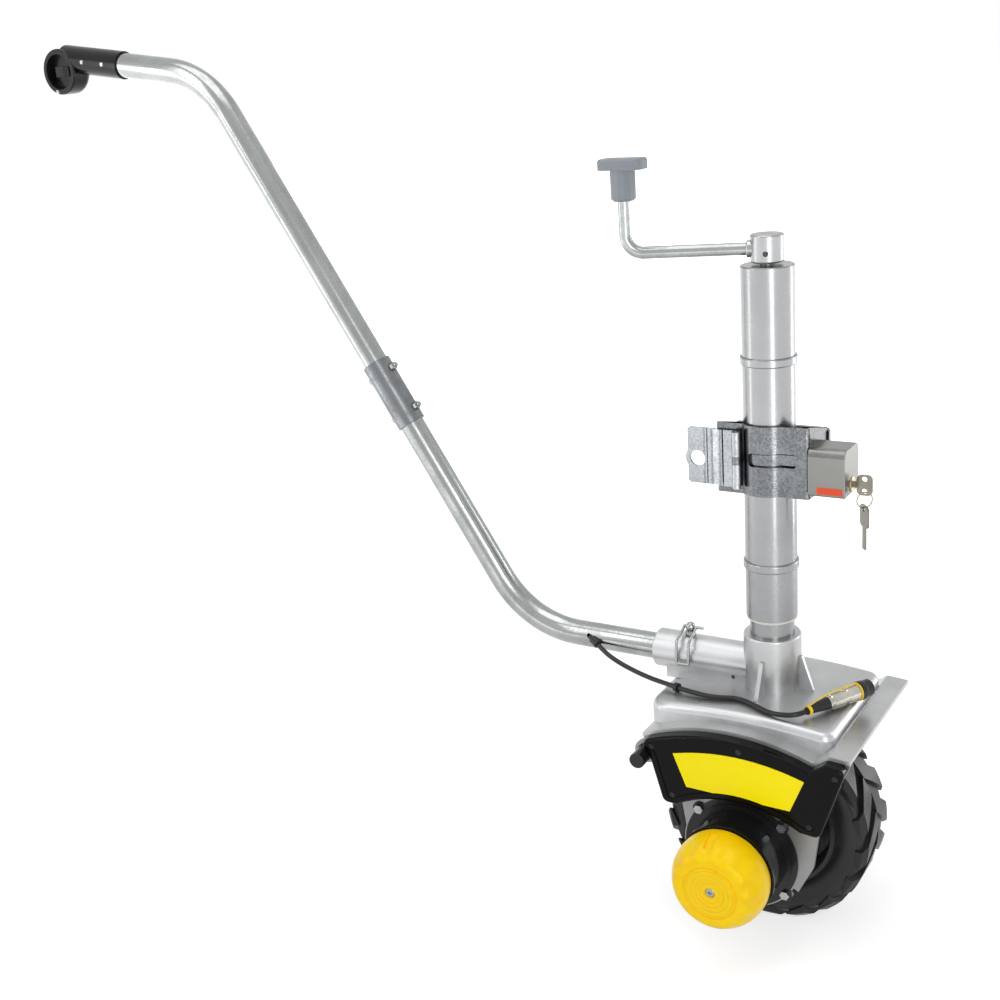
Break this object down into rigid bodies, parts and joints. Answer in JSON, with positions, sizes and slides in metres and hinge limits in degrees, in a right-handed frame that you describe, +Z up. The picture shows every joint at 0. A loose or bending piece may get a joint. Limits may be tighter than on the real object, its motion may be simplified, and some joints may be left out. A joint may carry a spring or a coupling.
{
  "type": "motorised jockey wheel",
  "caption": "Clamp-on trailer jockey wheel with a crank-raised mast, a motor-driven lugged wheel under a saddle, and a long cranked steering handle with a switch at its end.",
  "frame": {"origin": "middle of the clamp's two bolt holes, on the rear face of its back plate", "axes": "+Z up along the mast, +Y out of the clamp's rear face towards the vehicle, -X along the steering handle, and the motor's knob faces -Y"},
  "size_m": [1.201, 0.3203, 1.0985],
  "materials": {
    "zinc": "bright zinc plate",
    "handle_zinc": "mottled bright zinc tube",
    "steel": "plain turned steel",
    "silver_paint": "satin silver paint",
    "cast_silver": "satin silver casting",
    "lock_silver": "satin silver lock case",
    "brass": "brass",
    "nickel": "nickel plate",
    "grip_grey": "blue-grey moulded grip",
    "black_gloss": "gloss black moulding",
    "black_plastic": "satin black moulding",
    "black_metal": "gloss black paint",
    "yellow": "yellow moulding",
    "tyre": "black lugged rubber",
    "black_rubber": "black rubber",
    "nylon": "natural nylon"
  },
  "bodies": {
    "clamp": {"clamp_back_plate": "zinc", "clamp_shoe": "zinc", "clamp_housing": "zinc", "clamp_band": "zinc", "hasp_hinge_pin": "zinc", "lock_body": "lock_silver"},
    "hasp": {"hasp_plate": "zinc"},
    "key_barrel": {"lock_cylinder": "brass", "key": "nickel"},
    "ring": {"key_ring": "brass"},
    "spare": {"spare_key": "nickel"},
    "mast": {"outer_tube": "silver_paint", "top_cap": "silver_paint", "thrust_bearing": "steel", "lower_bush": "nylon"},
    "crank": {"lead_screw": "steel", "crank_hub": "silver_paint", "crank_arm": "handle_zinc", "crank_cross_pin": "steel"},
    "crank_grip": {"crank_knob": "grip_grey"},
    "lift": {"lift_nut": "brass"},
    "chassis": {"inner_tube": "silver_paint", "saddle_casting": "cast_silver", "handle_collar": "cast_silver", "handle_lower": "handle_zinc", "handle_upper": "handle_zinc", "coupling_sleeve": "zinc", "sleeve_bolts": "zinc", "handle_head": "black_plastic", "head_screws": "zinc", "front_cheek": "cast_silver", "rear_cheek": "cast_silver", "cheek_bolts": "zinc", "front_cover": "black_gloss", "cover_screws": "black_metal", "gearbox_housing": "black_metal", "gearbox_lid": "black_metal", "housing_screws": "zinc", "motor_can": "black_metal", "axle_bearings": "steel", "panel_socket": "black_plastic", "cable": "black_rubber", "cable_grommets": "black_rubber", "connector_boot": "black_rubber", "connector_shell": "nickel", "cap_lanyard": "yellow"},
    "wheel": {"tyre": "tyre", "wheel_rim": "black_plastic", "axle": "steel", "output_gear": "steel"},
    "layshaft": {"layshaft_gears": "steel"},
    "rotor": {"motor_rotor": "steel"},
    "drive_knob": {"clutch_knob": "yellow", "knob_screw": "zinc"},
    "clutch": {"clutch_rod": "steel"},
    "lock_pin": {"locking_pin": "zinc"},
    "bail": {"pin_ring": "zinc"},
    "rocker": {"rocker_switch": "black_plastic"},
    "plug_cap": {"dust_cap": "black_rubber"},
    "socket_cap": {"panel_cap": "black_plastic"}
  },
  "joints": [
    {"name": "mast_slide", "type": "slide", "parent": "clamp", "child": "mast", "axis": [0, 0, 1], "range_m": [-0.06, 0.08]},
    {"name": "crank_turn", "type": "hinge", "parent": "mast", "child": "crank", "pos_m": [0, -0.04, 0.2], "axis": [0, 0, -1], "range_deg": [0, 16560]},
    {"name": "grip_spin", "type": "hinge", "parent": "crank", "child": "crank_grip", "pos_m": [-0.14741, -0.0879, 0.31], "axis": [0, 0, 1], "continuous": true},
    {"name": "lift_slide", "type": "slide", "parent": "mast", "child": "lift", "axis": [0, 0, -1], "range_m": [0, 0.23]},
    {"name": "steer", "type": "hinge", "parent": "lift", "child": "chassis", "pos_m": [0, -0.04, -0.25], "axis": [0, 0, 1], "continuous": true},
    {"name": "wheel_spin", "type": "hinge", "parent": "chassis", "child": "wheel", "pos_m": [0, -0.04, -0.456], "axis": [0, 1, 0], "continuous": true},
    {"name": "layshaft_spin", "type": "hinge", "parent": "chassis", "child": "layshaft", "pos_m": [0, -0.04, -0.4185], "axis": [0, 1, 0], "continuous": true},
    {"name": "rotor_spin", "type": "hinge", "parent": "chassis", "child": "rotor", "pos_m": [0, -0.04, -0.456], "axis": [0, 1, 0], "continuous": true},
    {"name": "knob_turn", "type": "hinge", "parent": "chassis", "child": "drive_knob", "pos_m": [0, -0.04, -0.456], "axis": [0, 1, 0], "range_deg": [0, 90]},
    {"name": "clutch_slide", "type": "slide", "parent": "chassis", "child": "clutch", "axis": [0, 1, 0], "range_m": [0, 0.006]},
    {"name": "pin_lift", "type": "slide", "parent": "chassis", "child": "lock_pin", "axis": [0, 0, 1], "range_m": [0, 0.045]},
    {"name": "bail_swing", "type": "hinge", "parent": "lock_pin", "child": "bail", "pos_m": [-0.106, -0.04, -0.229], "axis": [-1, 0, 0], "range_deg": [0, 170]},
    {"name": "rocker_tilt", "type": "hinge", "parent": "chassis", "child": "rocker", "pos_m": [-1.039, -0.048, 0.477], "axis": [0, 0, 1], "range_deg": [-8, 8], "stiffness_Nm_per_rad": 0.4},
    {"name": "hasp_swing", "type": "hinge", "parent": "clamp", "child": "hasp", "pos_m": [-0.027, -0.0745, 0], "axis": [0, 0, 1], "range_deg": [0, 175]},
    {"name": "key_turn", "type": "hinge", "parent": "clamp", "child": "key_barrel", "pos_m": [0.098, -0.046, -0.022], "axis": [1, 0, 0], "range_deg": [0, 90]},
    {"name": "ring_swing", "type": "hinge", "parent": "key_barrel", "child": "ring", "pos_m": [0.112, -0.046, -0.0302], "axis": [0, 1, 0], "range_deg": [-20, 15]},
    {"name": "spare_swing", "type": "hinge", "parent": "ring", "child": "spare", "pos_m": [0.112, -0.046, -0.0482], "axis": [0.7683, 0.6401, 0], "range_deg": [-40, 30]},
    {"name": "dust_cap_pull", "type": "slide", "parent": "chassis", "child": "plug_cap", "axis": [0.4618, 0.887, 0], "range_m": [0, 0.02]},
    {"name": "panel_cap_pull", "type": "slide", "parent": "chassis", "child": "socket_cap", "axis": [0, -1, 0], "range_m": [0, 0.03]}
  ],
  "couplings": [
    {"joint": "lift_slide", "follows": "crank_turn", "m_per_rad": 0.00079577},
    {"joint": "layshaft_spin", "follows": "wheel_spin", "ratio": -4},
    {"joint": "rotor_spin", "follows": "wheel_spin", "ratio": 16},
    {"joint": "clutch_slide", "follows": "knob_turn", "m_per_rad": 0.0038197}
  ]
}
